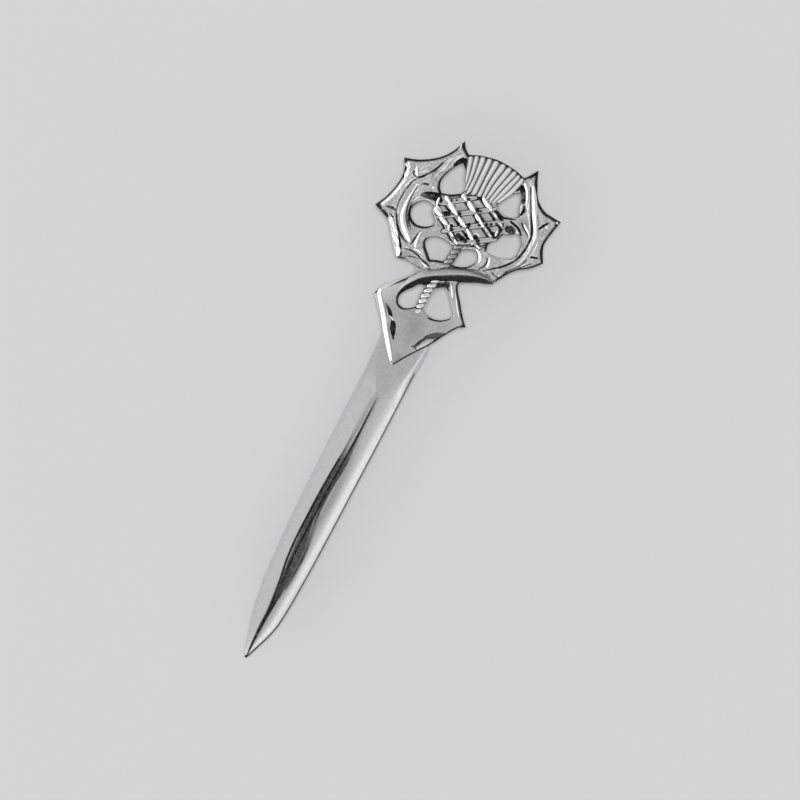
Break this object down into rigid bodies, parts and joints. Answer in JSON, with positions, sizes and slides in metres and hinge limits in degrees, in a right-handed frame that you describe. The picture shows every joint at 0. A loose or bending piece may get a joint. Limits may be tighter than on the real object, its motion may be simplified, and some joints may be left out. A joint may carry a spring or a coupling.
{
  "type": "kilt pin",
  "caption": "Flat-backed kilt pin shaped as a small sword with a pierced thistle head, with a plain needle, hinge foot and catch behind it.",
  "frame": {"origin": "middle of the part's outline from above, on the table that its foot and catch rest on", "axes": "+Y from the blade's point to the head, +Z out of the decorated face, +X to the right as the face is seen"},
  "size_m": [0.03, 0.0964, 0.0099],
  "materials": {
    "cast_metal": "polished, with darkened recesses",
    "pin_steel": "drawn and filed"
  },
  "bodies": {
    "root": {"casting": "cast_metal", "pin_back": "pin_steel"}
  },
  "joints": []
}
